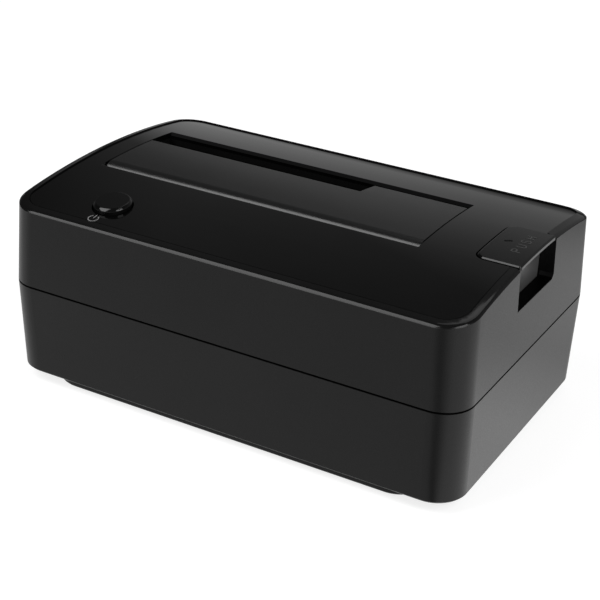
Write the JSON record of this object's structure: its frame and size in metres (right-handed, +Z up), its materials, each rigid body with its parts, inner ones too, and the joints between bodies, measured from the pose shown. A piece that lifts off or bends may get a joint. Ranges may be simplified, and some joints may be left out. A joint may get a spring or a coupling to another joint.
{
  "type": "hard drive docking station",
  "caption": "Docking station with an arched top, a spring flap over an upright drive bay, a round power key and a lever ejector key at one end.",
  "frame": {"origin": "middle of the footprint, on the surface that the feet stand on", "axes": "+X along the length, towards the eject key; +Y to the rear, where the sockets are; +Z up"},
  "size_m": [0.144, 0.094, 0.0603],
  "materials": {
    "case_black": "fine moulded texture, black",
    "panel_gloss": "polished black",
    "flap_gloss": "polished black",
    "key_gloss": "polished black",
    "key_black": "half-gloss black",
    "foot_rubber": "soft black rubber",
    "bay_black": "moulded black",
    "pin_steel": "turned steel",
    "spring_steel": "drawn wire",
    "rocker_white": "natural acetal",
    "board_green": "solder mask, green",
    "connector_black": "moulded black",
    "connector_white": "moulded white",
    "contact_gold": "gold flash",
    "switch_black": "moulded black",
    "plunger_white": "moulded white",
    "shell_steel": "tinned sheet",
    "chip_black": "moulded epoxy",
    "capacitor_sleeve": "drawn can",
    "coil_ferrite": "pressed ferrite",
    "screw_steel": "blackened steel"
  },
  "bodies": {
    "station": {"upper_housing": "case_black", "lower_housing": "case_black", "top_panel": "panel_gloss", "base_plate": "case_black", "rubber_feet": "foot_rubber", "drive_bay": "bay_black", "flap_hinge_pin": "pin_steel", "flap_spring": "spring_steel", "eject_spring": "spring_steel", "rocker_pin": "pin_steel", "main_board": "board_green", "sata_receptacle": "connector_black", "sata_contacts": "contact_gold", "power_switch": "switch_black", "esata_shell": "shell_steel", "esata_tongue": "connector_black", "usb_shell": "shell_steel", "usb_tongue": "connector_white", "dc_jack": "connector_black", "dc_jack_pin": "contact_gold", "bridge_chip": "chip_black", "board_capacitors": "capacitor_sleeve", "power_coil": "coil_ferrite", "crystal": "shell_steel", "case_screws": "screw_steel"},
    "flap": {"drive_flap": "flap_gloss"},
    "power_key": {"power_button": "key_gloss", "switch_plunger": "plunger_white"},
    "eject_key": {"eject_button": "key_black"},
    "rocker": {"eject_rocker": "rocker_white"}
  },
  "joints": [
    {"name": "flap_hinge", "type": "hinge", "parent": "station", "child": "flap", "pos_m": [0, -0.0092, 0.05583], "axis": [-1, 0, 0], "range_deg": [0, 88], "stiffness_Nm_per_rad": 0.012, "springref_deg": -28.65, "deforming": ["flap_spring"]},
    {"name": "power_press", "type": "slide", "parent": "station", "child": "power_key", "axis": [0, 0, -1], "range_m": [0, 0.0015], "stiffness_N_per_m": 600, "springref_m": -0.001},
    {"name": "eject_press", "type": "slide", "parent": "station", "child": "eject_key", "axis": [0, 0, -1], "range_m": [0, 0.005], "stiffness_N_per_m": 500, "springref_m": -0.002, "deforming": ["eject_spring"]},
    {"name": "rocker_tilt", "type": "hinge", "parent": "station", "child": "rocker", "pos_m": [0.036, 0.015, 0.0129], "axis": [0, 1, 0], "range_deg": [0, 12]}
  ],
  "couplings": [
    {"joint": "rocker_tilt", "follows": "eject_press", "rad_per_m": 41.88}
  ]
}
